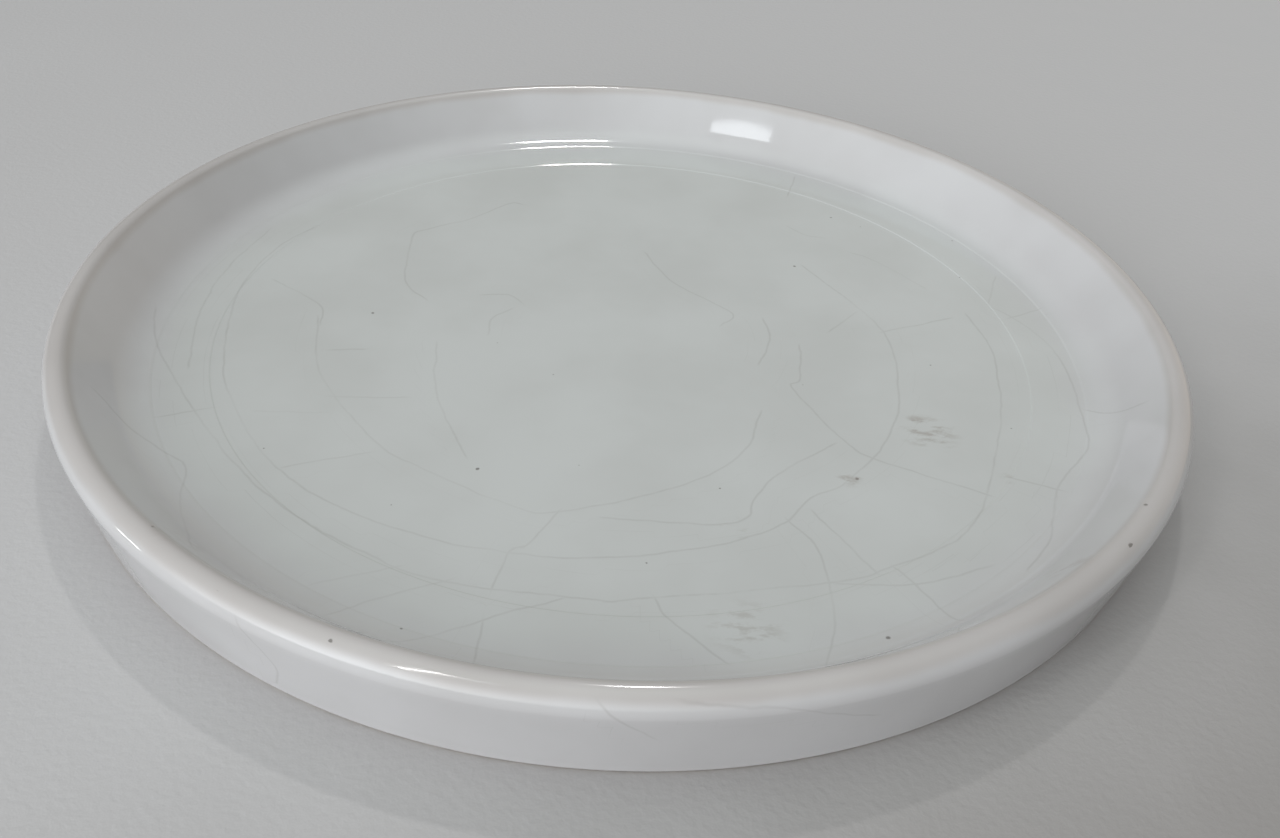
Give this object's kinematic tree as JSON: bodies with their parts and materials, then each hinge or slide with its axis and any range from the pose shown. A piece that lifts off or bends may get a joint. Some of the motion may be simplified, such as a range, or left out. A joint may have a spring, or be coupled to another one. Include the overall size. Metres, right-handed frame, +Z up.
{
  "type": "plate",
  "caption": "Low round earthenware plate with a wide flat well, a gently sloping side, a rounded lip, a short upright outer wall and a flat foot ring, glazed all over but for the foot.",
  "frame": {"origin": "under the plate's centre, on the surface that its foot ring stands on", "axes": "+Z up along the axis that the plate was turned about, +X to the right and +Y away from the viewer in the reference view"},
  "size_m": [0.25, 0.25, 0.021],
  "materials": {
    "glazed_earthenware": "off-white glossy glaze with fine crazing, pinholes and faint grey-brown stains; bare pale clay under the foot ring"
  },
  "bodies": {
    "root": {"plate_body": "glazed_earthenware"}
  },
  "joints": []
}
